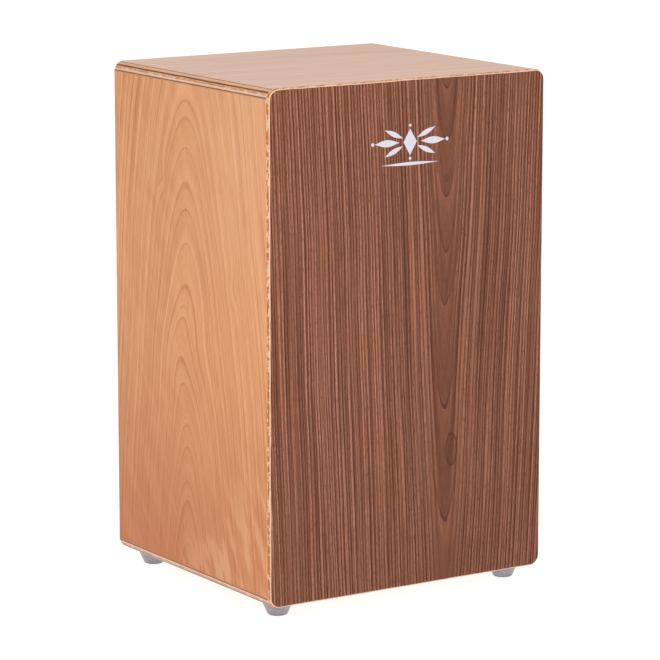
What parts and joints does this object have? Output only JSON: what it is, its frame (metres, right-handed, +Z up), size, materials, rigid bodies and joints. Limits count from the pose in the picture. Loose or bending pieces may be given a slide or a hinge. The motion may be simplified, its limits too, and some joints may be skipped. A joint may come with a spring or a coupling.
{
  "type": "cajon",
  "caption": "Upright wooden box drum with a dark veneered playing plate, rounded edges, rubber feet, a sound hole at the back and a swinging snare bar inside.",
  "frame": {"origin": "middle of the footprint at floor level, under the four feet", "axes": "+Z up; the playing plate faces -Y and the sound hole +Y; +X is the player's left when seated on it, the viewer's right when facing the plate"},
  "size_m": [0.3, 0.275, 0.483],
  "materials": {
    "dark_veneer_plywood": "satin lacquer over dark striped veneer",
    "pale_plywood": "satin lacquer over pale veneer",
    "beech_plywood": "satin lacquer",
    "softwood": "planed, unfinished",
    "hardwood": "planed, oiled",
    "foot_rubber": "moulded, semi-gloss",
    "zinc_steel": "zinc plated",
    "black_steel": "black oxide",
    "brass_plated": "satin",
    "nylon": "matt",
    "snare_wire": "bright drawn wire",
    "knob_plastic": "gloss"
  },
  "bodies": {
    "box": {"tapa": "dark_veneer_plywood", "top_panel": "pale_plywood", "bottom_panel": "beech_plywood", "left_side": "beech_plywood", "right_side": "beech_plywood", "back_panel": "beech_plywood", "front_strip_top": "softwood", "front_strip_bottom": "softwood", "front_strip_left": "softwood", "front_strip_right": "softwood", "rear_strip_top": "softwood", "rear_strip_bottom": "softwood", "rear_strip_left": "softwood", "rear_strip_right": "softwood", "corner_strip_top_left": "softwood", "corner_strip_top_right": "softwood", "corner_strip_bottom_left": "softwood", "corner_strip_bottom_right": "softwood", "foot_front_left": "foot_rubber", "foot_front_right": "foot_rubber", "foot_rear_left": "foot_rubber", "foot_rear_right": "foot_rubber", "foot_washers": "zinc_steel", "foot_screws": "zinc_steel", "back_screws": "black_steel", "pivot_block_left": "hardwood", "pivot_block_right": "hardwood", "block_screws": "brass_plated"},
    "snare": {"snare_bar": "hardwood", "pivot_pin_left": "zinc_steel", "pivot_pin_right": "zinc_steel", "friction_washers": "nylon", "snare_plate_left": "brass_plated", "snare_plate_right": "brass_plated", "snare_wires_left": "snare_wire", "snare_wires_right": "snare_wire", "plate_screws": "zinc_steel", "lever_rod": "zinc_steel", "lever_knob": "knob_plastic"}
  },
  "joints": [
    {"name": "snare_swing", "type": "hinge", "parent": "box", "child": "snare", "pos_m": [0, -0.106, 0.335], "axis": [-1, 0, 0], "range_deg": [0, 20]}
  ]
}
